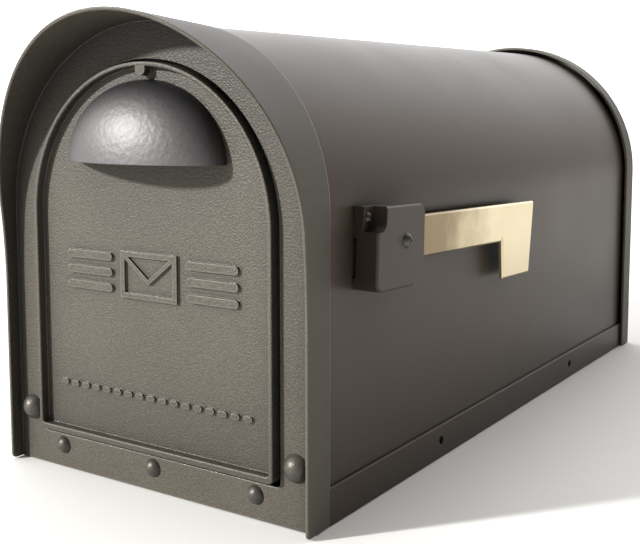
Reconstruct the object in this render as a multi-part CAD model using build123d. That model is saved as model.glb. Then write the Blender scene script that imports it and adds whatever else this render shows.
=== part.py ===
from build123d import *
from math import sqrt
import os

# Curbside mailbox: arched body on a folded floor pan, visor casting and drop-front door at the
# front, cast rear cap, and a carrier flag in a side cover.
# Drawn with X to the right seen from the front, Y towards the back and Z up. The drawing's zero is
# the middle of the bottom front edge. save() moves each piece so that the row's origin is the
# middle of the mounting-board seat under the floor.

# ---- driving dimensions, millimetres -------------------------------------------------------
BODY_HALF = 108.5          # outer half width of the arched sheet
SPRING = 156.0             # height of the arch centre
LENGTH = 520.0             # face strip to back wall
SHEET = 1.5                # body sheet
PAN_SHEET = 2.0            # floor pan sheet
PAN_ROUND = 1.2            # rounded bend along the ledge
FLOOR_TOP = 20.5           # top of the floor, and of the skirts' ledge
FLOOR_FLANGE = 12.0        # inward flange of the body sheet
FLANGE_START = 2.0         # flange behind the front seam
FLANGE_END = 12.0          # flange before the back wall

FACE_WALL = 3.0            # face strip
HOOD_WALL = 2.0            # visor
LIP_ROUND = 0.7            # rounded edges of the visor's lip
LEG_ROUND = 3.0            # lower front corner of each visor leg
HOOD_LAP = 1.0             # casting's edge over the body sheet at the seam
HOOD_FLARE = 4.5           # growth of the half width from the rear station to the front one
HOOD_RISE = 1.5            # rise of the arch centre over the same stretch
HOOD_REAR_Y = 30.0
HOOD_FRONT_Y = -50.0
VISOR_LEG = 8.0            # overhang beside the door
VISOR_TOP = 38.0           # overhang at the top
VISOR_START = SPRING - 46  # height where the overhang starts to grow
SEAM_LEG_Y = 14.5          # rear edge of the casting at the legs
SEAM_TOP_Y = 26.0          # and at the top

STILE = 21.0               # side of the body to the door
DOOR_HALF = BODY_HALF - STILE
DOOR_GAP = 1.5             # door to frame, sides and arch
DOOR_PLATE = 2.5
RIM_WALL = 2.6
RIM_PROUD = 5.4            # rim in front of the panel
RIM_SILL = 3.8             # height of the rim's bottom bar
RIM_BACK = 6.0             # rim behind the panel's front face
RIM_ROUND = 0.8            # rounded front edges of the rim
CORNER = 3.0               # lower corners of the door
CORNER_INSIDE = 2.0        # and of the panel inside the rim

HINGE_Y = 2.2
HINGE_RISE = 10.0          # hinge above the door's lower edge
PIN_R = 1.5
PIN_PLAY = 0.05            # radial play of the pin in the door
PIN_AIR = 0.3              # pin's end to the bottom of its bore
BARREL_HALF = 3.6          # boss round the pin behind the panel
BARREL_END = 2.5           # boss past the pin's end
BARREL_SHY = 0.4           # boss in front of the rim's back
SWING_ROOM = 0.5           # door's lower edge to the sill while it swings

CAP_HALF = BODY_HALF + 4.6
CAP_WALL = 2.4             # flange that stands off the body all round
CAP_LIP_ROUND = 0.7
CAP_DEPTH = 18.0
CAP_BACK = 3.0
CAP_RISE = 1.0             # cap's arch centre above the body's
CAP_ROUND = 2.0
RIB_GAP = 0.3              # locating rib inside the body sheet
RIB_DEPTH = 8.0
RIB_WALL = 3.0

MOUNT_R = 2.75             # skirt holes
MOUNT_SPACING = 228.6
MOUNT_FIRST_Y = 143.5
MOUNT_Z = 10.8

BOLT_X = BODY_HALF - 9.7   # large domes beside the door
BOLT_HEAD_R = 7.75
BOLT_HEAD_H = 5.6
BOLT_R = 2.5
NUT_FLATS = 8.0
NUT_T = 4.0
RIVET_X = BODY_HALF - 36.0 # small domes on the bottom strip
RIVET_Z = 13.6
RIVET_HEAD_R = 5.4
RIVET_HEAD_H = 3.6
RIVET_R = 2.2
PIN_END_GAP = 1.3          # end of the hinge pin to the bolt's shank
CUT = 1.0                  # how far a cutter passes through a face
SINK = 0.2                 # how deep a joined feature is let into its parent
INSIDE_GAP = 1.0           # inner pieces above the body sheet's floor flange
SHEET_GAP = 0.5            # hinge block to the body sheet
TAIL_H = 1.2               # flush tail of a rivet, in a 45 degree countersink

PULL_EDGE_Z = SPRING + 32.4  # half-dome pull: its open lower edge
PULL_HALF = DOOR_HALF - 32.0
PULL_TALL = DOOR_HALF - 42.2
PULL_DEPTH = 27.0
PULL_WALL = 2.5
PULL_BOSS_X = 0.61 * PULL_HALF
PULL_BOSS_Z = PULL_EDGE_Z + 0.32 * PULL_TALL
PULL_BOSS_R = 3.6
PULL_SCREW_DEPTH = 7.0
SCREW_R = 1.5
SCREW_PLAY = 0.2           # pull's screw in the panel
PULL_HEAD_R = 3.4
PULL_HEAD_H = 2.2

FLAG_Y = 71.3              # flag pivot
FLAG_Z = SPRING - 10.4
FLAG_TILT = -2.0           # the whole flag unit sits slightly nose-up, degrees about X
ARM_HALF = 12.3
ARM_TIP = 195.8
ARM_SHEET = 3.0
ARM_STANDOFF = 7.5         # body sheet to the arm's inner face
FOOT_WIDTH = 53.0
FOOT_DROP = 37.6
FOOT_LEAN = 5.6            # foot's far edge leans in by this much
FOOT_TAPER = 3.0           # and its near edge by this much
NICK_WIDE = 1.6            # nick in the arm where the foot begins
NICK_TALL = 1.8
ARM_BEVEL = 1.1
COVER_DEPTH = 15.5
COVER_WALL = 2.5
PIVOT_R = 2.5
PIVOT_PLAY = 0.06

# ---- worked-out places ----------------------------------------------------------------------
SKIRT_HALF = BODY_HALF + PAN_SHEET
SEAT_Z = FLOOR_TOP - PAN_SHEET
SEAT_Y = MOUNT_FIRST_Y + MOUNT_SPACING / 2
OPENING_HALF = DOOR_HALF + DOOR_GAP
BLOCK_DEPTH = 6.0          # hinge block behind the strip
PIN_INNER_X = DOOR_HALF - 4.0
PIN_OUTER_X = BOLT_X - BOLT_R - PIN_END_GAP
SWING_R = sqrt((HINGE_Y + RIM_PROUD) ** 2 + HINGE_RISE ** 2) - RIM_ROUND * (sqrt(2) - 1)
HINGE_Z = FLOOR_TOP + SWING_ROOM + SWING_R
DOOR_BOTTOM = HINGE_Z - HINGE_RISE
BACK_INNER_Y = LENGTH - CAP_BACK
FLANGE_RISE = 1.5          # pan's end flanges stop this far above the ground line
COVER_FACE_X = BODY_HALF + COVER_DEPTH
ARM_X = BODY_HALF + ARM_STANDOFF

os.makedirs("parts", exist_ok=True)


# ---- drawing helpers ------------------------------------------------------------------------
def save(piece, name):
    """Write one node, moved so that the mounting-board seat is the origin."""
    export_step(Pos(0, -SEAT_Y, -SEAT_Z) * piece, f"parts/{name}.step")


def arch_face(half, spring, y, bottom):
    """Upright arch outline in the plane Y = y."""
    outline = Polyline((-half, spring), (-half, bottom), (half, bottom), (half, spring))
    outline += ThreePointArc((half, spring), (0, spring + half), (-half, spring))
    plane = Plane(origin=(0, y, 0), x_dir=(1, 0, 0), z_dir=(0, -1, 0))
    return plane * make_face(outline)


def arch_block(half, spring, y0, y1, bottom):
    return extrude(arch_face(half, spring, y0, bottom), y1 - y0, dir=(0, 1, 0))


def block(x0, x1, y0, y1, z0, z1):
    middle = Pos((x0 + x1) / 2, (y0 + y1) / 2, (z0 + z1) / 2)
    return middle * Box(x1 - x0, y1 - y0, z1 - z0)


def rod_x(radius, x0, x1, y, z):
    return Pos((x0 + x1) / 2, y, z) * Rot(0, 90, 0) * Cylinder(radius, abs(x1 - x0))


def rod_y(radius, y0, y1, x, z):
    return Pos(x, (y0 + y1) / 2, z) * Rot(90, 0, 0) * Cylinder(radius, abs(y1 - y0))


def rod_z(radius, z0, z1, x, y):
    return Pos(x, y, (z0 + z1) / 2) * Cylinder(radius, abs(z1 - z0))


def side_slab(points, x0, x1):
    """Polygon in the YZ plane, extruded from x0 to x1."""
    plane = Plane(origin=(x0, 0, 0), x_dir=(0, 1, 0), z_dir=(1, 0, 0))
    return extrude(plane * make_face(Polyline(*points, close=True)), x1 - x0, dir=(1, 0, 0))


def dome(radius, height):
    """Spherical cap standing on the XY plane."""
    ball_r = (radius ** 2 + height ** 2) / (2 * height)
    keep = Pos(0, 0, height / 2) * Cylinder(2 * radius, height)
    return (Pos(0, 0, height - ball_r) * Sphere(ball_r)) & keep


def hex_nut(across_flats, height, bore):
    body = extrude(RegularPolygon(across_flats / sqrt(3), 6), height)
    return body - Pos(0, 0, height / 2) * Cylinder(bore, height)


def facing_front(piece, x, y, z):
    """Turn a piece drawn along +Z to point to -Y, with its foot at (x, y, z)."""
    return Pos(x, y, z) * Rot(90, 0, 0) * piece


def facing_back(piece, x, y, z):
    return Pos(x, y, z) * Rot(-90, 0, 0) * piece


def facing_right(piece, x, y, z):
    return Pos(x, y, z) * Rot(0, 90, 0) * piece


def lower_corners(piece):
    """The two upright edges at the bottom of an arched block."""
    return piece.edges().filter_by(Axis.Y).group_by(Axis.Z)[0]


def flag_tilt(piece):
    return Pos(0, FLAG_Y, FLAG_Z) * Rot(FLAG_TILT, 0, 0) * Pos(0, -FLAG_Y, -FLAG_Z) * piece


# ---- front frame casting --------------------------------------------------------------------
def hood_half(y):
    share = (HOOD_REAR_Y - y) / (HOOD_REAR_Y - HOOD_FRONT_Y)
    return BODY_HALF + HOOD_LAP + HOOD_FLARE * share


def hood_spring(y):
    return SPRING + HOOD_RISE * (HOOD_REAR_Y - y) / (HOOD_REAR_Y - HOOD_FRONT_Y)


def hood_loft(y0, y1, wall, bottom):
    ends = [arch_face(hood_half(y) - wall, hood_spring(y), y, bottom) for y in (y0, y1)]
    return loft(ends, ruled=True)


def visor_cutter():
    """Everything in front of the visor's edge: upright at the legs, then one large arc."""
    rise = hood_spring(-VISOR_TOP) + hood_half(-VISOR_TOP) - VISOR_START
    reach = VISOR_TOP - VISOR_LEG
    arc_r = (rise ** 2 + reach ** 2) / (2 * reach)
    wide = 4 * BODY_HALF
    drum = rod_x(arc_r, -wide / 2, wide / 2, -VISOR_LEG - arc_r, VISOR_START)
    return drum + block(-wide / 2, wide / 2, -VISOR_LEG - arc_r, -VISOR_LEG, -CUT, VISOR_START)


def leg_edges(casting):
    """Lower front edge of each visor leg."""
    return casting.edges().filter_by(
        lambda edge: edge.center().Y < LEG_ROUND - VISOR_LEG and edge.center().Z < LEG_ROUND)


def lip_edges(casting):
    """Inner and outer edges of the visor's curved lip."""
    curved = casting.faces().filter_by(GeomType.CYLINDER)
    curved = curved.filter_by(lambda face: face.center().Y < -VISOR_LEG)
    return curved.edges().filter_by(lambda edge: edge.center().Y < -VISOR_LEG - LIP_ROUND)


def front_frame():
    top = SPRING + CAP_HALF
    past = HOOD_REAR_Y + CUT
    casting = hood_loft(HOOD_REAR_Y, HOOD_FRONT_Y, 0, 0)
    casting -= visor_cutter()
    casting -= hood_loft(0, HOOD_FRONT_Y - CUT, HOOD_WALL, -CUT)
    casting -= arch_block(BODY_HALF, SPRING, FACE_WALL, HOOD_REAR_Y + CUT, -CUT)
    casting -= side_slab(
        [(SEAM_LEG_Y, -CUT), (SEAM_LEG_Y, SPRING), (SEAM_TOP_Y, top), (past, top), (past, -CUT)],
        -2 * BODY_HALF, 2 * BODY_HALF)
    opening = arch_block(OPENING_HALF, SPRING, -CUT, FACE_WALL + CUT, FLOOR_TOP)
    casting -= fillet(lower_corners(opening), CORNER)
    casting = fillet(leg_edges(casting), LEG_ROUND)
    casting = fillet(lip_edges(casting), LIP_ROUND)
    for side in (-1, 1):
        casting -= rod_x(PIN_R, side * (OPENING_HALF - CUT), side * PIN_OUTER_X, HINGE_Y, HINGE_Z)
        slot_x = sorted((side * (OPENING_HALF - CUT), side * PIN_OUTER_X))
        casting -= block(*slot_x, HINGE_Y, FACE_WALL + CUT, HINGE_Z - PIN_R, HINGE_Z + PIN_R)
        casting -= rod_y(BOLT_R, -CUT, FACE_WALL + CUT, side * BOLT_X, HINGE_Z)
        casting -= rod_y(SCREW_R, FACE_WALL - CATCH_BITE, FACE_WALL + CUT,
                         side * CATCH_SCREW_X, CATCH_SCREW_Z)
    for x in (-RIVET_X, 0, RIVET_X):
        casting -= rod_y(RIVET_R, -CUT, FACE_WALL + CUT, x, RIVET_Z)
    return casting


# ---- body, floor and back -------------------------------------------------------------------
FLOOR_RIVET_X = BODY_HALF - SHEET - FLOOR_FLANGE / 2
FLOOR_RIVET_END = 60.0     # first and last floor rivets from the ends
FLOOR_RIVET_Y = (FLOOR_RIVET_END, LENGTH / 2, LENGTH - FLOOR_RIVET_END)
FLOOR_RIVET_R = 1.6
FLOOR_HEAD_R = 3.4
FLOOR_HEAD_H = 1.5
FLOOR_GRIP = SHEET + PAN_SHEET
FRONT_GRIP = FACE_WALL + PAN_SHEET
REAR_GRIP = CAP_BACK + PAN_SHEET


def flush_tail(shank_r, grip):
    """Rivet tail pressed into its countersink, drawn along +Z. It also cuts the countersink."""
    return Pos(0, 0, TAIL_H / 2 - grip) * Cone(shank_r + TAIL_H, shank_r, TAIL_H)


def body_wrapper():
    sheet = arch_block(BODY_HALF, SPRING, FACE_WALL, BACK_INNER_Y, FLOOR_TOP)
    sheet -= arch_block(BODY_HALF - SHEET, SPRING, FACE_WALL - CUT, BACK_INNER_Y + CUT, FLOOR_TOP - CUT)
    inner = BODY_HALF - SHEET
    for side in (-1, 1):
        x0, x1 = sorted((side * inner, side * (inner - FLOOR_FLANGE)))
        sheet += block(x0, x1, SEAM_LEG_Y + FLANGE_START, BACK_INNER_Y - FLANGE_END,
                       FLOOR_TOP, FLOOR_TOP + SHEET)
        for y in FLOOR_RIVET_Y:
            sheet -= rod_z(FLOOR_RIVET_R, FLOOR_TOP - CUT, FLOOR_TOP + SHEET + CUT,
                           side * FLOOR_RIVET_X, y)
    sheet -= flag_tilt(rod_x(PIVOT_R, inner - CUT, BODY_HALF + CUT, FLAG_Y, FLAG_Z))
    sheet -= flag_tilt(rod_x(CORNER_SCREW_R, inner - CUT, BODY_HALF + CUT,
                             CORNER_SCREW_Y, CORNER_SCREW_Z))
    return sheet


def base_pan():
    pan = block(-SKIRT_HALF, SKIRT_HALF, SEAM_LEG_Y, BACK_INNER_Y, 0, FLOOR_TOP)
    pan = fillet(pan.edges().filter_by(Axis.Y).group_by(Axis.Z)[-1], PAN_ROUND)
    pan -= block(-BODY_HALF, BODY_HALF, SEAM_LEG_Y - CUT, BACK_INNER_Y + CUT, -CUT, SEAT_Z)
    pan += block(-BODY_HALF, BODY_HALF, FACE_WALL, SEAM_LEG_Y + CUT, SEAT_Z, FLOOR_TOP)
    pan += block(-BODY_HALF, BODY_HALF, FACE_WALL, FACE_WALL + PAN_SHEET, FLANGE_RISE, FLOOR_TOP)
    pan += block(-BODY_HALF, BODY_HALF, BACK_INNER_Y - PAN_SHEET, BACK_INNER_Y, FLANGE_RISE, FLOOR_TOP)
    for x in (-RIVET_X, 0, RIVET_X):
        pan -= rod_y(RIVET_R, FACE_WALL - CUT, FACE_WALL + PAN_SHEET + CUT, x, RIVET_Z)
        pan -= rod_y(RIVET_R, BACK_INNER_Y - PAN_SHEET - CUT, BACK_INNER_Y + CUT, x, RIVET_Z)
        pan -= facing_front(flush_tail(RIVET_R, FRONT_GRIP), x, 0, RIVET_Z)
        pan -= facing_back(flush_tail(RIVET_R, REAR_GRIP), x, LENGTH, RIVET_Z)
    for y in (MOUNT_FIRST_Y, MOUNT_FIRST_Y + MOUNT_SPACING):
        pan -= rod_x(MOUNT_R, -SKIRT_HALF - CUT, SKIRT_HALF + CUT, y, MOUNT_Z)
    for side in (-1, 1):
        for y in FLOOR_RIVET_Y:
            pan -= rod_z(FLOOR_RIVET_R, SEAT_Z - CUT, FLOOR_TOP + CUT, side * FLOOR_RIVET_X, y)
            head = Pos(side * FLOOR_RIVET_X, y, FLOOR_TOP + SHEET)
            pan -= head * flush_tail(FLOOR_RIVET_R, FLOOR_GRIP)
    return pan


def rear_cap():
    spring = SPRING + CAP_RISE
    cap = arch_block(CAP_HALF, spring, LENGTH - CAP_DEPTH, LENGTH, 0)
    cap = fillet(cap.edges().group_by(Axis.Y)[-1], CAP_ROUND)
    cap -= arch_block(CAP_HALF - CAP_WALL, spring, LENGTH - CAP_DEPTH - CUT, BACK_INNER_Y, -CUT)
    cap = fillet(cap.edges().group_by(Axis.Y)[0], CAP_LIP_ROUND)
    rib_half = BODY_HALF - SHEET - RIB_GAP
    rib_bottom = FLOOR_TOP + SHEET + INSIDE_GAP
    rib_y = BACK_INNER_Y - RIB_DEPTH
    rib = arch_block(rib_half, SPRING, rib_y, BACK_INNER_Y, rib_bottom)
    rib -= arch_block(rib_half - RIB_WALL, SPRING, rib_y - CUT, BACK_INNER_Y + CUT,
                      rib_bottom + RIB_WALL)
    cap += rib
    for x in (-RIVET_X, 0, RIVET_X):
        cap -= rod_y(RIVET_R, BACK_INNER_Y - CUT, LENGTH + CUT, x, RIVET_Z)
    return cap


def rivet(head_r, head_h, shank_r, grip):
    """Rivet drawn along +Z: dome head above zero, shank below, tail pressed flush."""
    shank = Pos(0, 0, -grip / 2) * Cylinder(shank_r, grip)
    return dome(head_r, head_h) + shank + flush_tail(shank_r, grip)


def strip_rivet(grip):
    return rivet(RIVET_HEAD_R, RIVET_HEAD_H, RIVET_R, grip)


# ---- hinge ----------------------------------------------------------------------------------
BLOCK_RISE = 10.5          # hinge block above the pin
BLOCK_ROUND = 1.5
BLOCK_AIR = 1.5            # hinge block to the opening
BOLT_PAST = 5.5            # bolt's end behind the hinge block


def hinge_block(side):
    x0, x1 = sorted((side * (OPENING_HALF + BLOCK_AIR), side * (BODY_HALF - SHEET - SHEET_GAP)))
    rear = FACE_WALL + BLOCK_DEPTH
    clamp = block(x0, x1, FACE_WALL, rear, FLOOR_TOP + SHEET + INSIDE_GAP, HINGE_Z + BLOCK_RISE)
    clamp = fillet(clamp.edges().filter_by(Axis.Y), BLOCK_ROUND)
    clamp -= rod_x(PIN_R, side * (OPENING_HALF - CUT), side * PIN_OUTER_X, HINGE_Y, HINGE_Z)
    clamp -= rod_y(BOLT_R, FACE_WALL - CUT, rear + CUT, side * BOLT_X, HINGE_Z)
    return clamp


def hinge_bolt():
    """Dome-head bolt drawn along +Z."""
    shank = FACE_WALL + BLOCK_DEPTH + BOLT_PAST
    return dome(BOLT_HEAD_R, BOLT_HEAD_H) + Pos(0, 0, -shank / 2) * Cylinder(BOLT_R, shank)


# ---- door -----------------------------------------------------------------------------------
RELIEF = 1.6               # height of the raised relief
DASH_RELIEF = 1.3
ENVELOPE_W = 42.0
ENVELOPE_H = 27.0
ENVELOPE_Z = SPRING - 32.0
ENVELOPE_LINE = 3.2
FLAP_SHARE = 0.12          # flap's tip below the middle, as a share of the height
BAR_AIR = 6.5              # envelope to the bars beside it
BAR_LENGTH = 36.0
BAR_HEIGHT = 4.8
BAR_PITCH = 9.0
DASH_ROW_Z = DOOR_BOTTOM + 31.0
DASH_ROW_LENGTH = 2 * DOOR_HALF - 29.0
DASH_COUNT = 17
DASH_PITCH = DASH_ROW_LENGTH / DASH_COUNT
DASH_LENGTH = 0.70 * DASH_PITCH
DASH_HEIGHT = 0.56 * DASH_LENGTH
TAB_HALF = 3.5
TAB_DROP = 5.2
TAB_SHY = 0.2              # tab's face behind the rim's


def raised(sketch, height):
    """Relief on the panel's front face, from a sketch drawn in X and Z."""
    plane = Plane(origin=(0, SINK, 0), x_dir=(1, 0, 0), z_dir=(0, -1, 0))
    return extrude(plane * sketch, height + SINK, dir=(0, -1, 0))


def envelope_sketch():
    frame = Rectangle(ENVELOPE_W, ENVELOPE_H) - Rectangle(ENVELOPE_W - 2 * ENVELOPE_LINE,
                                                          ENVELOPE_H - 2 * ENVELOPE_LINE)
    corner_x = ENVELOPE_W / 2 - ENVELOPE_LINE / 2
    corner_z = ENVELOPE_H / 2 - ENVELOPE_LINE / 2
    tip_z = -ENVELOPE_H * FLAP_SHARE
    half = ENVELOPE_LINE / 2
    flap = Polygon((-corner_x, corner_z + half), (0, tip_z + half), (corner_x, corner_z + half),
                   (corner_x, corner_z - half), (0, tip_z - half), (-corner_x, corner_z - half),
                   align=None)
    return Pos(0, ENVELOPE_Z) * (frame + flap)


def door_panel():
    door = arch_block(DOOR_HALF, SPRING, -RIM_PROUD, RIM_BACK, DOOR_BOTTOM)
    door = fillet(lower_corners(door), CORNER)
    inner = DOOR_HALF - RIM_WALL
    front = arch_block(inner, SPRING, -RIM_PROUD - CUT, 0, DOOR_BOTTOM + RIM_SILL)
    front = fillet(lower_corners(front), CORNER_INSIDE)
    back = arch_block(inner, SPRING, DOOR_PLATE, RIM_BACK + CUT, DOOR_BOTTOM + RIM_WALL)
    door = door - front - back
    door = fillet(door.edges().group_by(Axis.Y)[0], RIM_ROUND)
    tab_top = SPRING + inner + RIM_WALL / 2
    tab_end = SPRING + inner - TAB_DROP + TAB_HALF
    door += block(-TAB_HALF, TAB_HALF, TAB_SHY - RIM_PROUD, SINK, tab_end, tab_top)
    door += rod_y(TAB_HALF, TAB_SHY - RIM_PROUD, SINK, 0, tab_end)
    door += raised(envelope_sketch(), RELIEF)
    for side in (-1, 1):
        for row in (-1, 0, 1):
            bar_x = side * (ENVELOPE_W / 2 + BAR_AIR + BAR_LENGTH / 2)
            bar = Pos(bar_x, ENVELOPE_Z + row * BAR_PITCH) * SlotOverall(BAR_LENGTH, BAR_HEIGHT)
            door += raised(bar, RELIEF)
    for index in range(DASH_COUNT):
        dash_x = (index - (DASH_COUNT - 1) / 2) * DASH_PITCH
        dash = SlotOverall(DASH_LENGTH, DASH_HEIGHT)
        door += raised(Pos(dash_x, DASH_ROW_Z) * dash, DASH_RELIEF)
    for side in (-1, 1):
        x0, x1 = sorted((side * (PIN_INNER_X - BARREL_END), side * (inner + SINK)))
        door += block(x0, x1, DOOR_PLATE - SINK, RIM_BACK - BARREL_SHY,
                      HINGE_Z - BARREL_HALF, HINGE_Z + BARREL_HALF)
        door -= rod_x(PIN_R + PIN_PLAY, side * (PIN_INNER_X - PIN_AIR), side * (DOOR_HALF + CUT),
                      HINGE_Y, HINGE_Z)
        door -= rod_y(SCREW_R + SCREW_PLAY, -CUT, DOOR_PLATE + CUT, side * PULL_BOSS_X, PULL_BOSS_Z)
        door -= rod_y(STRIKE_RIVET_R, DOOR_PLATE - STRIKE_BITE, DOOR_PLATE + CUT,
                      side * STRIKE_RIVET_X, STRIKE_Z)
    return door


def dome_room(wall):
    """Ellipsoid about the middle of the pull's lower edge, in from the outside by the wall."""
    axes = (PULL_HALF - wall, PULL_DEPTH - wall, PULL_TALL - wall)
    return Pos(0, 0, PULL_EDGE_Z) * scale(Sphere(1), by=axes)


def door_handle():
    space = block(-PULL_HALF - CUT, PULL_HALF + CUT, -PULL_DEPTH - CUT, 0,
                  PULL_EDGE_Z, PULL_EDGE_Z + PULL_TALL + CUT)
    solid = dome_room(0) & space
    bosses = Part()
    for side in (-1, 1):
        bosses += rod_y(PULL_BOSS_R, -PULL_DEPTH, 0, side * PULL_BOSS_X, PULL_BOSS_Z)
    pull = (solid - dome_room(PULL_WALL)) + (solid & bosses)
    for side in (-1, 1):
        pull -= rod_y(SCREW_R, -PULL_SCREW_DEPTH, CUT, side * PULL_BOSS_X, PULL_BOSS_Z)
    return pull


def handle_screw():
    """Pan screw drawn along +Z, head above zero."""
    length = DOOR_PLATE + PULL_SCREW_DEPTH - SHEET_GAP
    return dome(PULL_HEAD_R, PULL_HEAD_H) + Pos(0, 0, -length / 2) * Cylinder(SCREW_R, length)


# ---- magnetic catch -------------------------------------------------------------------------
CATCH_HALF = 13.0
CATCH_SHEET = 1.5
CATCH_SCREW_X = 8.0
CATCH_SCREW_Z = SPRING + OPENING_HALF + 10.0
CATCH_BITE = 1.8           # screw's thread in the frame casting
CATCH_TOP = CATCH_SCREW_Z + 6.0
CATCH_HEAD_R = 2.8
CATCH_HEAD_H = 1.8
CATCH_SHELF_Z = SPRING + OPENING_HALF + 1.0
MAGNET_HALF = 11.0
MAGNET_HEIGHT = 13.0
MAGNET_DEPTH = 8.0
MAGNET_ROUND = 0.8
MAGNET_AIR = 0.5           # air gap to the strike
STRIKE_SHEET = 1.5
STRIKE_HALF = 15.0
STRIKE_TALL = 12.0
STRIKE_ROUND = 2.0
STRIKE_Z = SPRING + DOOR_HALF - RIM_WALL - 9.5
STRIKE_RIVET_X = 12.4
STRIKE_RIVET_R = 1.2
STRIKE_BITE = 1.5          # strike rivet's depth in the panel
MAGNET_FACE_Y = DOOR_PLATE + STRIKE_SHEET + MAGNET_AIR


def catch_bracket():
    front, rear = FACE_WALL, MAGNET_FACE_Y + MAGNET_DEPTH
    low = STRIKE_Z - MAGNET_HEIGHT / 2
    shelf = CATCH_SHELF_Z + CATCH_SHEET
    profile = [(front, CATCH_TOP), (front, CATCH_SHELF_Z), (rear, CATCH_SHELF_Z), (rear, low),
               (rear + CATCH_SHEET, low), (rear + CATCH_SHEET, shelf),
               (front + CATCH_SHEET, shelf), (front + CATCH_SHEET, CATCH_TOP)]
    bracket = side_slab(profile, -CATCH_HALF, CATCH_HALF)
    for side in (-1, 1):
        bracket -= rod_y(SCREW_R, front - CUT, front + CATCH_SHEET + CUT,
                         side * CATCH_SCREW_X, CATCH_SCREW_Z)
    return bracket


def catch_magnet():
    low = STRIKE_Z - MAGNET_HEIGHT / 2
    rear = MAGNET_FACE_Y + MAGNET_DEPTH
    magnet = block(-MAGNET_HALF, MAGNET_HALF, MAGNET_FACE_Y, rear, low, low + MAGNET_HEIGHT)
    return fillet(magnet.edges().filter_by(Axis.Y), MAGNET_ROUND)


def catch_screw():
    length = CATCH_SHEET + CATCH_BITE
    return dome(CATCH_HEAD_R, CATCH_HEAD_H) + Pos(0, 0, -length / 2) * Cylinder(SCREW_R, length)


def door_strike():
    y1 = DOOR_PLATE + STRIKE_SHEET
    plate = block(-STRIKE_HALF, STRIKE_HALF, DOOR_PLATE, y1,
                  STRIKE_Z - STRIKE_TALL / 2, STRIKE_Z + STRIKE_TALL / 2)
    plate = fillet(plate.edges().filter_by(Axis.Y), STRIKE_ROUND)
    for side in (-1, 1):
        plate -= rod_y(STRIKE_RIVET_R, DOOR_PLATE - CUT, y1 + CUT, side * STRIKE_RIVET_X, STRIKE_Z)
    return plate


def strike_rivet():
    """Flush rivet through the strike into the panel, drawn along +Z."""
    grip = STRIKE_SHEET + STRIKE_BITE
    return Pos(0, 0, -grip / 2) * Cylinder(STRIKE_RIVET_R, grip)


# ---- flag -----------------------------------------------------------------------------------
COVER_BACK = 31.6          # pivot to the cover's front-side wall
COVER_REACH = 21.4         # pivot to the cover's open side
COVER_TOP = 19.6
COVER_BOTTOM = 25.9
COVER_BEVEL = 4.0          # bevelled corners of the outline
COVER_ROUND = 6.0          # rounded lower front-side corner
EDGE_BEVEL = 1.0           # round the outer face
STEP_IN = 8.0              # open side stepped in below the arm
STEP_TALL = 10.5
ARM_ROOM = 1.2             # raised arm to the cover
RELIEF_SLOT = 2.0          # clearance slot along the body
NOTCH_WIDE = 9.0           # notch in the cover's upper front-side corner
NOTCH_TALL = 13.4
NOTCH_ROUND = 6.0
NOTCH_SEAT = 6.5           # seat of the corner screw, out from the body
CORNER_HEAD_R = 3.2
CORNER_SCREW_R = 1.6
CORNER_SCREW_Y = FLAG_Y - COVER_BACK + 4.7
CORNER_SCREW_Z = FLAG_Z + COVER_TOP - 6.3
CORNER_HEAD_H = 2.2
CORNER_NUT_T = 2.6
CORNER_FLATS = 5.5
CORNER_NUT_GAP = 0.4       # flat nut to the curve of the sheet


def flag_cover():
    y0, y1 = FLAG_Y - COVER_BACK, FLAG_Y + COVER_REACH
    z0, z1 = FLAG_Z - COVER_BOTTOM, FLAG_Z + COVER_TOP
    bevel, step_y, step_z = COVER_BEVEL, y1 - STEP_IN, z0 + STEP_TALL
    outline = [(y0, z0), (step_y - bevel, z0), (step_y, z0 + bevel), (step_y, step_z - bevel),
               (y1, step_z), (y1, z1 - bevel), (y1 - bevel, z1), (y0, z1)]
    shell = side_slab(outline, BODY_HALF, COVER_FACE_X)
    rounded = shell.edges().filter_by(Axis.X).sort_by_distance((COVER_FACE_X, y0, z0))[0]
    shell = fillet(rounded, COVER_ROUND)
    shell = chamfer(shell.faces().sort_by(Axis.X)[-1].edges(), EDGE_BEVEL)
    inner_x = COVER_FACE_X - COVER_WALL
    room_end = step_y - COVER_WALL
    room = block(BODY_HALF - CUT, inner_x, y0 + COVER_WALL, room_end, z0 + COVER_WALL, z1 - COVER_WALL)
    arm_way = block(BODY_HALF - CUT, inner_x, room_end - CUT, y1 + CUT, step_z, z1 + CUT)
    top_way = block(BODY_HALF - CUT, inner_x, FLAG_Y - ARM_HALF - ARM_ROOM, y1 + CUT, FLAG_Z, z1 + CUT)
    seat_z = z1 - NOTCH_TALL - COVER_WALL
    notch_y, notch_z = y0 + NOTCH_WIDE, z1 - NOTCH_TALL
    seat = block(BODY_HALF, inner_x + SINK, y0 + EDGE_BEVEL, notch_y + COVER_WALL,
                 seat_z, z1 - EDGE_BEVEL)
    notch = block(BODY_HALF + NOTCH_SEAT, COVER_FACE_X + CUT, y0 - NOTCH_ROUND, notch_y,
                  notch_z, z1 + NOTCH_ROUND)
    inner_edge = notch.edges().filter_by(Axis.X).sort_by_distance((COVER_FACE_X, notch_y, notch_z))[0]
    notch = fillet(inner_edge, NOTCH_ROUND)
    shell = (shell - room - arm_way - top_way) + seat
    shell -= notch
    shell -= block(BODY_HALF - CUT, BODY_HALF + RELIEF_SLOT, y0 - CUT, y0 + COVER_WALL + CUT,
                   z0 + COVER_ROUND + CUT, seat_z - CUT)
    shell -= rod_x(PIVOT_R, inner_x - CUT, COVER_FACE_X + CUT, FLAG_Y, FLAG_Z)
    shell -= rod_x(CORNER_SCREW_R, BODY_HALF - CUT, COVER_FACE_X, CORNER_SCREW_Y, CORNER_SCREW_Z)
    return shell


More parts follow.
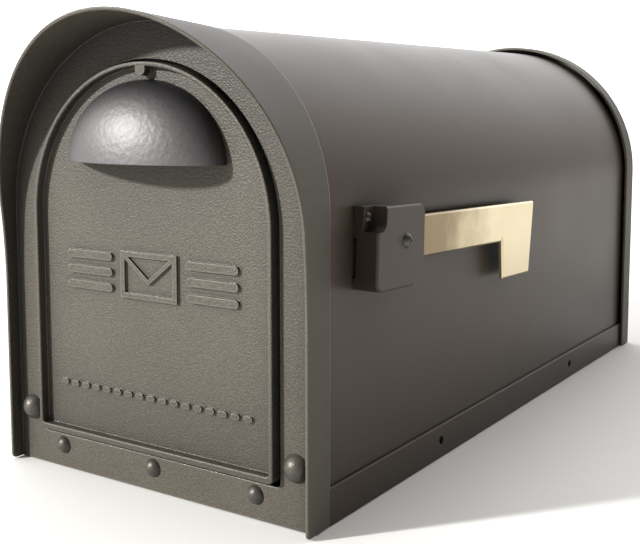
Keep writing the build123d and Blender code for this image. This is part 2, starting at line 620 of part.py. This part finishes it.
def flag_arm():
    tip = FLAG_Y + ARM_TIP
    foot_in = tip - FOOT_WIDTH
    low = FLAG_Z - ARM_HALF
    foot_z = low - (FOOT_DROP - ARM_HALF)
    top = FLAG_Z + ARM_HALF
    points = [(FLAG_Y, top), (tip, top), (tip - FOOT_LEAN, foot_z), (foot_in + FOOT_TAPER, foot_z),
              (foot_in, low), (foot_in - NICK_WIDE / 2, low + NICK_TALL), (foot_in - NICK_WIDE, low),
              (FLAG_Y, low)]
    arm = side_slab(points, ARM_X, ARM_X + ARM_SHEET)
    arm += rod_x(ARM_HALF, ARM_X, ARM_X + ARM_SHEET, FLAG_Y, FLAG_Z)
    arm = chamfer(arm.faces().sort_by(Axis.X)[-1].edges(), ARM_BEVEL)
    return arm - rod_x(PIVOT_R + PIVOT_PLAY, ARM_X - CUT, ARM_X + ARM_SHEET + CUT, FLAG_Y, FLAG_Z)


def ring(outer, bore, x0, x1):
    return rod_x(outer, x0, x1, FLAG_Y, FLAG_Z) - rod_x(bore, x0 - CUT, x1 + CUT, FLAG_Y, FLAG_Z)


INNER_X = BODY_HALF - SHEET
WASHER_T = 1.2
PIVOT_HEAD_R = 4.4
PIVOT_HEAD_H = 2.4
WASHER_R = 7.0
SPACER_R = 8.0
INNER_WASHER_R = 6.0
ARM_AIR = 0.1              # flat running gap on each side of the arm
RECESS_SPAN = 1.1          # across the recess, as a share of the head's radius
RECESS_WIDE = 0.9          # arms of the cross recess
RECESS_DEEP = 0.9


def pan_screw(head_r, head_h, shank_r, length):
    """Pan-head screw drawn along +Z with a cross recess."""
    screw = dome(head_r, head_h) + Pos(0, 0, -length / 2) * Cylinder(shank_r, length)
    recess = Box(RECESS_SPAN * head_r, RECESS_WIDE, 2 * RECESS_DEEP)
    for turn in (0, 90):
        screw -= Pos(0, 0, head_h) * Rot(0, 0, turn) * recess
    return screw


# ---- write every node -----------------------------------------------------------------------
save(front_frame(), "front_frame")
save(body_wrapper(), "body_wrapper")
save(base_pan(), "base_pan")
save(rear_cap(), "rear_cap")

for label, side in (("left", -1), ("right", 1)):
    save(hinge_block(side), f"hinge_block_{label}")
    save(rod_x(PIN_R, side * PIN_INNER_X, side * PIN_OUTER_X, HINGE_Y, HINGE_Z), f"hinge_pin_{label}")
    save(facing_front(hinge_bolt(), side * BOLT_X, 0, HINGE_Z), f"hinge_bolt_{label}")
    nut = hex_nut(NUT_FLATS, NUT_T, BOLT_R)
    save(facing_back(nut, side * BOLT_X, FACE_WALL + BLOCK_DEPTH, HINGE_Z), f"hinge_nut_{label}")
    save(facing_back(catch_screw(), side * CATCH_SCREW_X, FACE_WALL + CATCH_SHEET, CATCH_SCREW_Z),
         f"catch_screw_{label}")
    save(facing_back(handle_screw(), side * PULL_BOSS_X, DOOR_PLATE, PULL_BOSS_Z),
         f"handle_screw_{label}")
    save(facing_back(strike_rivet(), side * STRIKE_RIVET_X, DOOR_PLATE + STRIKE_SHEET, STRIKE_Z),
         f"strike_rivet_{label}")
    for number, y in enumerate(FLOOR_RIVET_Y, 1):
        fixing = rivet(FLOOR_HEAD_R, FLOOR_HEAD_H, FLOOR_RIVET_R, FLOOR_GRIP)
        save(Pos(side * FLOOR_RIVET_X, y, FLOOR_TOP + SHEET) * fixing, f"floor_rivet_{label}_{number}")

for label, x in (("left", -RIVET_X), ("middle", 0), ("right", RIVET_X)):
    save(facing_front(strip_rivet(FRONT_GRIP), x, 0, RIVET_Z), f"front_rivet_{label}")
    save(facing_back(strip_rivet(REAR_GRIP), x, LENGTH, RIVET_Z), f"rear_rivet_{label}")

save(catch_bracket(), "catch_bracket")
save(catch_magnet(), "catch_magnet")

save(door_panel(), "door_panel")
save(door_handle(), "door_handle")
save(door_strike(), "door_strike")

arm_outer = ARM_X + ARM_SHEET
cover_inner = COVER_FACE_X - COVER_WALL
pivot_length = COVER_FACE_X - INNER_X + WASHER_T + NUT_T + 1
corner_face = BODY_HALF + NOTCH_SEAT
save(flag_tilt(flag_cover()), "flag_cover")
save(flag_tilt(flag_arm()), "flag_arm")
save(flag_tilt(ring(WASHER_R, PIVOT_R, arm_outer + ARM_AIR, cover_inner)), "flag_spring_washer")
save(flag_tilt(ring(SPACER_R, PIVOT_R, BODY_HALF, ARM_X - ARM_AIR)), "flag_spacer")
save(flag_tilt(ring(INNER_WASHER_R, PIVOT_R, INNER_X - WASHER_T, INNER_X)), "flag_inner_washer")
pivot = pan_screw(PIVOT_HEAD_R, PIVOT_HEAD_H, PIVOT_R, pivot_length)
save(flag_tilt(facing_right(pivot, COVER_FACE_X, FLAG_Y, FLAG_Z)), "flag_pivot_bolt")
pivot_nut = facing_right(hex_nut(NUT_FLATS, NUT_T, PIVOT_R), INNER_X - WASHER_T - NUT_T, FLAG_Y, FLAG_Z)
save(flag_tilt(pivot_nut), "flag_pivot_nut")
corner = pan_screw(CORNER_HEAD_R, CORNER_HEAD_H, CORNER_SCREW_R, corner_face - INNER_X + NUT_T)
save(flag_tilt(facing_right(corner, corner_face, CORNER_SCREW_Y, CORNER_SCREW_Z)), "flag_corner_screw")
corner_nut_x = INNER_X - CORNER_NUT_GAP - CORNER_NUT_T
corner_nut = hex_nut(CORNER_FLATS, CORNER_NUT_T, CORNER_SCREW_R)
corner_nut = facing_right(corner_nut, corner_nut_x, CORNER_SCREW_Y, CORNER_SCREW_Z)
save(flag_tilt(corner_nut), "flag_corner_nut")
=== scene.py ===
import math

import bpy
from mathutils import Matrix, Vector


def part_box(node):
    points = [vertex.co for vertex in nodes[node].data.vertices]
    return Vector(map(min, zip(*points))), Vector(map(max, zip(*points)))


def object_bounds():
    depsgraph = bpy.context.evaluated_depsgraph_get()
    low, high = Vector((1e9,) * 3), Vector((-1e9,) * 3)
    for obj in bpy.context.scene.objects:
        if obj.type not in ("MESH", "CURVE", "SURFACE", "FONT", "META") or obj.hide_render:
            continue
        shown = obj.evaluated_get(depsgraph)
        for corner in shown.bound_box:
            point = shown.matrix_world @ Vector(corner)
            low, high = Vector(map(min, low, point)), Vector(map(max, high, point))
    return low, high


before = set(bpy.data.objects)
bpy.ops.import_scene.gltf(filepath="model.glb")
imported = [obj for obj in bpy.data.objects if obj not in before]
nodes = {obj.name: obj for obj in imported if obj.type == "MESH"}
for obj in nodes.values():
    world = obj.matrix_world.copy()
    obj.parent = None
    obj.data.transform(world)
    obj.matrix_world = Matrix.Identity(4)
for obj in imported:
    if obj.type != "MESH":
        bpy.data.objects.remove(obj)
cad_low, cad_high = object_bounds()


# Floor, daylight and camera. The box stands on a pale floor in front of a wide white sky that is
# brightest behind it and to the left, with a low sun from the front left. The camera looks at the
# door and the flag side from about the height of the arch. Lengths are in metres.
class Shade:
    """A value in a finish's node tree. Sums on it add Math nodes, and node() adds any other."""

    def __init__(self, tree, socket=None):
        self.tree, self.socket = tree, socket

    def feed(self, socket, value):
        if isinstance(value, Shade):
            self.tree.links.new(value.socket, socket)
        else:
            socket.default_value = value

    def node(self, kind, settings=None, *values, out=0, **named):
        """Adds a node: settings first, then its sockets' values or links, in order or by name."""
        made = self.tree.nodes.new("ShaderNode" + kind)
        for name, value in (settings or {}).items():
            if name == "stops":
                for stop, (place, grey) in zip(made.color_ramp.elements, value):
                    stop.position, stop.color = place, (grey, grey, grey, 1)
            else:
                setattr(made, name, value)
        open_sockets = [socket for socket in made.inputs if socket.enabled]
        for socket, value in zip(open_sockets, values):
            self.feed(socket, value)
        for name, value in named.items():
            self.feed(next(s for s in open_sockets if s.name == name.replace("_", " ")), value)
        return Shade(self.tree, [socket for socket in made.outputs if socket.enabled][out])

    def sum(self, operation, left, right):
        return self.node("Math", {"operation": operation}, left, right)

    def vector(self, operation, left, right):
        return self.node("VectorMath", {"operation": operation}, left, right)

    def __add__(self, other):
        return self.sum("ADD", self, other)

    def __radd__(self, other):
        return self.sum("ADD", other, self)

    def __sub__(self, other):
        return self.sum("SUBTRACT", self, other)

    def __rsub__(self, other):
        return self.sum("SUBTRACT", other, self)

    def __mul__(self, other):
        return self.sum("MULTIPLY", self, other)

    def __rmul__(self, other):
        return self.sum("MULTIPLY", other, self)

    def blend(self, dark, light):
        """The colour from dark to light as this value goes from 0 to 1."""
        return self.node("Mix", {"data_type": "RGBA"}, self, (*dark, 1), (*light, 1))

    def steps(self, low, high):
        """This value's stretch from low to high, spread from 0 to 1."""
        return self.node("ValToRGB", {"stops": [(low, 0), (high, 1)]}, self)


class Finish:
    """A material with one Principled shader, and the place on the piece in metres."""
    BEVEL_SAMPLES = 4
    AIR_SAMPLES = 8
    BUMP_STRENGTH = 0.8
    EDGE_TURN = 0.2  # 1 less the cosine of the lean that counts as fully an edge

    def __init__(self, name, **fixed):
        self.material = bpy.data.materials.new(name)
        self.material.use_nodes = True
        self.shader = self.material.node_tree.nodes["Principled BSDF"]
        for socket, value in fixed.items():
            self.shader.inputs[socket.replace("_", " ")].default_value = value
        self.tree = Shade(self.material.node_tree)
        self.place = self.tree.node("TexCoord", out=3)

    def grain(self, size, detail=2.0, stretch=None):
        """Noise whose bumps are about size metres across, drawn out along an axis by stretch."""
        place = self.place
        if stretch:
            place = place.vector("MULTIPLY", place, stretch)
        return place.node("TexNoise", None, Vector=place, Scale=1 / size, Detail=detail)

    def edges(self, width):
        """1 on sharp and rounded edges, 0 on flat faces: where cast edges get a painted highlight.
        """
        soft = self.tree.node("Bevel", {"samples": self.BEVEL_SAMPLES}, Radius=2 * width)
        straight = self.tree.node("NewGeometry", out=1)
        return (1 - soft.vector("DOT_PRODUCT", soft, straight)).steps(0.0, self.EDGE_TURN)

    def coat(self, colour, rough, height, depth, edge=0.0006, reach=0.09, gloom=0.9, alone=False):
        """Sets what varies: colour, roughness, and a texture depth metres high over softened edges.
        Hollows and corners within reach metres get painted shade: their colour is darkened by up
        to gloom. With alone, only the piece's own hollows count."""
        # Painted shade: ambient occlusion darkens the base colour in hollows, corners and gaps.
        open_air = self.tree.node(
            "AmbientOcclusion", {"samples": self.AIR_SAMPLES, "only_local": alone},
            Distance=reach, out=1)
        painted_shade_factor = open_air * open_air * gloom + (1 - gloom)
        grey = self.tree.node("CombineColor", None, painted_shade_factor, painted_shade_factor, painted_shade_factor)
        colour = self.tree.node(
            "Mix", {"data_type": "RGBA", "blend_type": "MULTIPLY"}, 1.0, colour, grey)
        self.tree.feed(self.shader.inputs["Base Color"], colour)
        self.tree.feed(self.shader.inputs["Roughness"], rough)
        soft = self.tree.node("Bevel", {"samples": self.BEVEL_SAMPLES}, Radius=edge)
        bump = self.tree.node(
            "Bump", None, Height=height, Strength=self.BUMP_STRENGTH, Distance=depth, Normal=soft)
        self.tree.feed(self.shader.inputs["Normal"], bump)
        return self.material


FLOOR_HALF_WIDTH = 5
FLOOR_FRONT = -4
FLOOR_BACK = 7
FLOOR_GAP = 0.0005
FLOOR_DEEP = (0.82, 0.82, 0.81)
FLOOR_PALE = (0.86, 0.86, 0.85)
FLOOR_CLOUD = 0.2
floor_height = cad_low.z - FLOOR_GAP
floor_mesh = bpy.data.meshes.new("floor")
floor_mesh.from_pydata([(-FLOOR_HALF_WIDTH, FLOOR_FRONT, floor_height),
                        (FLOOR_HALF_WIDTH, FLOOR_FRONT, floor_height),
                        (FLOOR_HALF_WIDTH, FLOOR_BACK, floor_height),
                        (-FLOOR_HALF_WIDTH, FLOOR_BACK, floor_height)], [], [(0, 1, 2, 3)])
floor = bpy.data.objects.new("floor", floor_mesh)
bpy.context.scene.collection.objects.link(floor)
floor_finish = Finish("pale_floor", Roughness=0.95, Specular_IOR_Level=0.1)
floor_finish.tree.feed(floor_finish.shader.inputs["Base Color"],
                       floor_finish.grain(FLOOR_CLOUD, 3.0).blend(FLOOR_DEEP, FLOOR_PALE))
floor.data.materials.append(floor_finish.material)

SKY_DIM = 0.21
SKY_DIM_COLOUR = (1.0, 0.91, 0.83)
SKY_BRIGHT = 2.3
SKY_BRIGHT_COLOUR = (0.98, 0.99, 1.0)
SKY_BRIGHT_FROM = (-0.52, 0.60, 0.60)
GLOW_STARTS = 0.24
GLOW_FULL = 0.76
world = bpy.data.worlds.new("white_sky")
bpy.context.scene.world = world
world.use_nodes = True
sky = Shade(world.node_tree)
direction = sky.node("TexCoord", out=0)
lean = direction.vector("DOT_PRODUCT", direction, SKY_BRIGHT_FROM)
glow = lean.steps(GLOW_STARTS, GLOW_FULL)
backdrop = world.node_tree.nodes["Background"]
sky.feed(backdrop.inputs["Color"], glow.blend(SKY_DIM_COLOUR, SKY_BRIGHT_COLOUR))
sky.feed(backdrop.inputs["Strength"], glow * (SKY_BRIGHT - SKY_DIM) + SKY_DIM)

SUN_STRENGTH = 5.4
SUN_WIDTH = 4  # degrees across
SUN_COLOUR = (1.0, 0.99, 0.965)
SUN_TOWARD = (0.8, 1.0, -0.52)
sun_light = bpy.data.lights.new("low_sun", "SUN")
sun_light.energy = SUN_STRENGTH
sun_light.angle = math.radians(SUN_WIDTH)
sun_light.color = SUN_COLOUR
sun = bpy.data.objects.new("low_sun", sun_light)
sun.rotation_mode = "QUATERNION"
sun.rotation_quaternion = Vector(SUN_TOWARD).to_track_quat("-Z", "Y")
bpy.context.scene.collection.objects.link(sun)

CAMERA_PLACE = (0.3927, -0.6877, 0.2038)
CAMERA_TURN = (83.966, 0.211, 34.629)  # degrees
LENS_LENGTH = 58.70  # mm
LENS_SHIFT = (0.0469, -0.0969)
SENSOR_WIDTH = 36  # mm
lens = bpy.data.cameras.new("camera")
lens.sensor_width = SENSOR_WIDTH
lens.lens = LENS_LENGTH
lens.shift_x, lens.shift_y = LENS_SHIFT
camera = bpy.data.objects.new("camera", lens)
camera.location = CAMERA_PLACE
camera.rotation_euler = [math.radians(angle) for angle in CAMERA_TURN]
bpy.context.scene.collection.objects.link(camera)
bpy.context.scene.camera = camera
bpy.context.scene.view_settings.view_transform = "Standard"


# Front frame and rear cap. Sand-cast aluminium with a dark bronze powder coat, baked over a cast
# skin that leaves a fine pebbled texture, and ground smoother on the outside of the arch. Rivets
# hold both to the floor pan's end flanges.
BRONZE_DEEP = (0.045, 0.0385, 0.0285)
BRONZE_PALE = (0.104, 0.091, 0.069)
# The paler colour that edges get as a painted highlight, and how much of it is mixed in.
BRONZE_EDGE_HIGHLIGHT = (0.24, 0.225, 0.195)
EDGE_HIGHLIGHT_SHARE = 0.8
PEBBLE = 0.0010
PEBBLE_DEPTH = 0.00046
PEBBLE_SHARE = 0.65
PEBBLES_GROUND = 0.65
SPECKS_GROUND = 0.95
CAST_EDGE = 0.0007
CAST_CLOUD = 0.05
SPECK_FROM = 0.36
SPECK_FULL = 0.66
CAST_CLOUD_ROUGHENS = 0.14
SPECK_SMOOTHS = 0.10
RUBBING_SMOOTHS = 0.22


def cast_powder(name, rough, reach=0.09, alone=False, gloom=0.9, fettled=None):
    """Powder coat over a pebbled cast skin. Where fettled is 1 the skin was ground back before
    coating, which leaves a third of the pebbles' height and next to none of their colour."""
    made = Finish(name, Metallic=0.12)
    fine = made.grain(PEBBLE, 2.5)
    speck = fine.steps(SPECK_FROM, SPECK_FULL)
    if fettled:
        ground = fettled(made)
        fine = 0.5 + (fine - 0.5) * (1 - PEBBLES_GROUND * ground)
        speck = speck * (1 - SPECKS_GROUND * ground)
    cloud = made.grain(CAST_CLOUD, 3.0)
    # Painted highlight: edges get a paler colour mixed in, and a lower roughness.
    edge_highlight_and_gloss = made.edges(CAST_EDGE)
    bronze = (speck * PEBBLE_SHARE + cloud * (1 - PEBBLE_SHARE)).blend(BRONZE_DEEP, BRONZE_PALE)
    return made.coat(
        colour=edge_highlight_and_gloss.node(
            "Mix", {"data_type": "RGBA"}, edge_highlight_and_gloss * EDGE_HIGHLIGHT_SHARE, bronze, (*BRONZE_EDGE_HIGHLIGHT, 1)),
        rough=(rough + (cloud - 0.5) * CAST_CLOUD_ROUGHENS + (0.5 - speck) * SPECK_SMOOTHS
               - edge_highlight_and_gloss * RUBBING_SMOOTHS),
        height=fine, depth=PEBBLE_DEPTH, edge=CAST_EDGE, reach=reach, gloom=gloom, alone=alone)


def arch_outside(made):
    """1 on the outer faces of a casting that follow the arch, 0 on its inside and its front."""
    body_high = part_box("body_wrapper")[1]
    from_middle = made.place.vector(
        "SUBTRACT", made.place, (0.0, 0.0, body_high.z - body_high.x))
    beside = made.place.vector("MULTIPLY", made.place, (1.0, 0.0, 0.0))
    above = from_middle.vector("MAXIMUM", from_middle, (0.0, 0.0, 0.0))
    above = above.vector("MULTIPLY", above, (0.0, 0.0, 1.0))
    outward = above.vector("ADD", beside, above)
    outward = outward.node("VectorMath", {"operation": "NORMALIZE"}, outward)
    facing = made.tree.node("TexCoord", out=1)
    return facing.vector("DOT_PRODUCT", facing, outward).steps(0.3, 0.6)


finishes = {"cast_coat": cast_powder(
    "cast_powder", 0.50, reach=0.14, alone=True, gloom=0.97, fettled=arch_outside)}


# Door. One casting like the frame, with a raised rim all round, a short tab under its crown, a
# raised envelope between two sets of bars, and a row of dashes. It has the same pebbled coat, and
# turns on a pin at each lower corner.
finishes["door_coat"] = cast_powder("door_powder", 0.48, gloom=0.6)


# Pull. A smooth half-dome casting, screwed to the door from behind. Its gunmetal coat is glossier,
# with the slow ripple of a powder coat that has flowed out.
PULL_DEEP = (0.118, 0.113, 0.116)
PULL_PALE = (0.160, 0.154, 0.160)
PULL_ROUGH = 0.50
PULL_RIPPLE = 0.0030
PULL_RIPPLE_DEPTH = 0.00030
FLOWED_CLOUD = 0.06
FLOWED_CLOUD_ROUGHENS = 0.10
DUST = 0.0006
DUST_FROM = 0.62
DUST_FULL = 0.75
DUST_SHARE = 0.3
DUST_ROUGHENS = 0.06


def flowed_powder(name, ripple, depth, rough, deep, pale, edge=0.0006, gloom=0.9, **fixed):
    """Powder coat that has flowed out over a smooth face, with ripples that many metres across."""
    made = Finish(name, **fixed)
    peel = made.grain(ripple, 1.5)
    cloud = made.grain(FLOWED_CLOUD, 3.0)
    dust = made.grain(DUST, 1.0).steps(DUST_FROM, DUST_FULL)
    return made.coat(
        colour=(cloud * (1 - DUST_SHARE) + dust * DUST_SHARE).blend(deep, pale),
        rough=rough + (cloud - 0.5) * FLOWED_CLOUD_ROUGHENS + dust * DUST_ROUGHENS,
        height=peel, depth=depth, edge=edge, gloom=gloom)


finishes["pull_coat"] = flowed_powder(
    "pull_powder", PULL_RIPPLE, PULL_RIPPLE_DEPTH, PULL_ROUGH, PULL_DEEP, PULL_PALE, Metallic=0.5)


# Body sheet and floor pan. Aluminium sheet bent over a former and folded, riveted together along
# two flanges, with a satin powder coat. The pan's side flanges hang below the ledge as skirts.
SHEET_DEEP = (0.056, 0.0425, 0.033)
SHEET_PALE = (0.070, 0.054, 0.043)
SHEET_ROUGH = 0.36
SHEET_RIPPLE = 0.0035
SHEET_RIPPLE_DEPTH = 0.00005
finishes["sheet_coat"] = flowed_powder(
    "sheet_powder", SHEET_RIPPLE, SHEET_RIPPLE_DEPTH, SHEET_ROUGH, SHEET_DEEP, SHEET_PALE,
    gloom=0.6, Metallic=0.0, Specular_IOR_Level=0.24, Specular_Tint=(1.0, 0.88, 0.80, 1))


# Flag cover. A small smooth casting over the flag's pivot, with a satin bronze powder coat. The
# pivot bolt and a screw in its corner hold it to the side of the body.
COVER_DEEP = (0.040, 0.031, 0.024)
COVER_ROUGH = 0.42
COVER_RIPPLE = 0.0022
COVER_RIPPLE_DEPTH = 0.00010
finishes["cover_coat"] = flowed_powder(
    "cover_powder", COVER_RIPPLE, COVER_RIPPLE_DEPTH, COVER_ROUGH, COVER_DEEP, SHEET_DEEP,
    edge=0.0009, gloom=0.6, Specular_IOR_Level=0.3, Specular_Tint=(1.0, 0.93, 0.86, 1))


# Hinge bolts and end rivets. Dome heads on the frame's strip and the rear cap, coated with the box
# after fitting, so their coat has flowed smooth and shines a little.
DOME_DEEP = (0.075, 0.068, 0.056)
DOME_PALE = (0.120, 0.110, 0.092)
DOME_ROUGH = 0.42
DOME_RIPPLE = 0.0014
DOME_RIPPLE_DEPTH = 0.00022
finishes["dome_coat"] = flowed_powder(
    "dome_powder", DOME_RIPPLE, DOME_RIPPLE_DEPTH, DOME_ROUGH, DOME_DEEP, DOME_PALE,
    gloom=0.5, Metallic=0.25)


# Flag. A brass arm with bevelled edges, brushed along its length under clear lacquer. It turns on
# the pivot bolt. Where it leaves the cover, its colour is darkened: a painted dark reflection.
BRASS_DEEP = (0.22, 0.155, 0.075)
BRASS_PALE = (0.80, 0.69, 0.46)
BRASS_ROUGH = 0.25
BRUSHED_LINE = 0.0009
BRUSHED_DEPTH = 0.00003
BRUSHED_SHARE = 0.2
BRUSHING_ROUGHENS = 0.12
BLOTCH_SIZE = 0.03
BLOTCH_SHARE = 0.2
# How far from the cover the painted dark reflection reaches, and how much its edge wanders.
DARK_REFLECTION_REACH = 0.10
DARK_REFLECTION_WANDER = 0.8
brass = Finish("flag_brass_brushed", Metallic=1.0, Coat_Weight=0.15, Coat_Roughness=0.2)
brushed = brass.grain(BRUSHED_LINE, 3.0, stretch=(1.0, 0.03, 1.0))
blotches = brass.grain(BLOTCH_SIZE, 3.0)
along = brass.place.node("SeparateXYZ", None, brass.place, out=1)
cover_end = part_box("flag_cover")[1].y
# Painted dark reflection: the colour falls towards BRASS_DEEP near the cover, with a wandering
# edge.
out_of_dark_reflection = (along - cover_end) * (1 / DARK_REFLECTION_REACH) + (blotches - 0.5) * DARK_REFLECTION_WANDER
bright = brushed * BRUSHED_SHARE + blotches * BLOTCH_SHARE + (1 - BRUSHED_SHARE - BLOTCH_SHARE)
finishes["flag_brass"] = brass.coat(
    colour=(bright * out_of_dark_reflection.steps(0.35, 1.0)).blend(BRASS_DEEP, BRASS_PALE),
    rough=BRASS_ROUGH + brushed * BRUSHING_ROUGHENS,
    height=brushed, depth=BRUSHED_DEPTH, edge=0.0004, gloom=0.5)


# Fixings and catch. Blackened screws on the flag cover. Plated pins, nuts, washers, screws, floor
# rivets, strike and catch bracket, with plain cast hinge blocks, a ferrite magnet and a nylon
# spacer, nearly all out of sight.
LINE = 0.0005
LINE_DEPTH = 0.00004
LINES_ROUGHEN = 0.12
BARE_CLOUD = 0.01
BARE_EDGE = 0.0003
BARE = {  # slot: (finish, darker colour, paler colour, roughness, metallic)
    "screw_steel": ("black_steel", (0.045, 0.042, 0.040), (0.14, 0.135, 0.13), 0.28, 0.8),
    "plated_steel": ("plated_steel", (0.42, 0.42, 0.41), (0.62, 0.62, 0.60), 0.28, 1.0),
    "raw_aluminium": ("plain_aluminium", (0.60, 0.61, 0.62), (0.76, 0.77, 0.78), 0.34, 1.0),
    "magnet": ("ferrite", (0.018, 0.018, 0.019), (0.045, 0.045, 0.047), 0.62, 0.0),
    "nylon": ("nylon", (0.62, 0.60, 0.54), (0.72, 0.70, 0.64), 0.42, 0.0),
}
for slot, (name, deep, pale, rough, metallic) in BARE.items():
    bare = Finish(name, Metallic=metallic)
    lines = bare.grain(LINE, 2.0, stretch=(1.0, 0.2, 1.0))
    cloud = bare.grain(BARE_CLOUD, 2.0)
    finishes[slot] = bare.coat(
        colour=(lines * 0.5 + cloud * 0.5).blend(deep, pale), rough=rough + lines * LINES_ROUGHEN,
        height=lines, depth=LINE_DEPTH, edge=BARE_EDGE)


# Each piece takes the finish that its slot names.
for node in nodes.values():
    for held in node.material_slots:
        held.material = finishes[held.material.name.split(".")[0]]
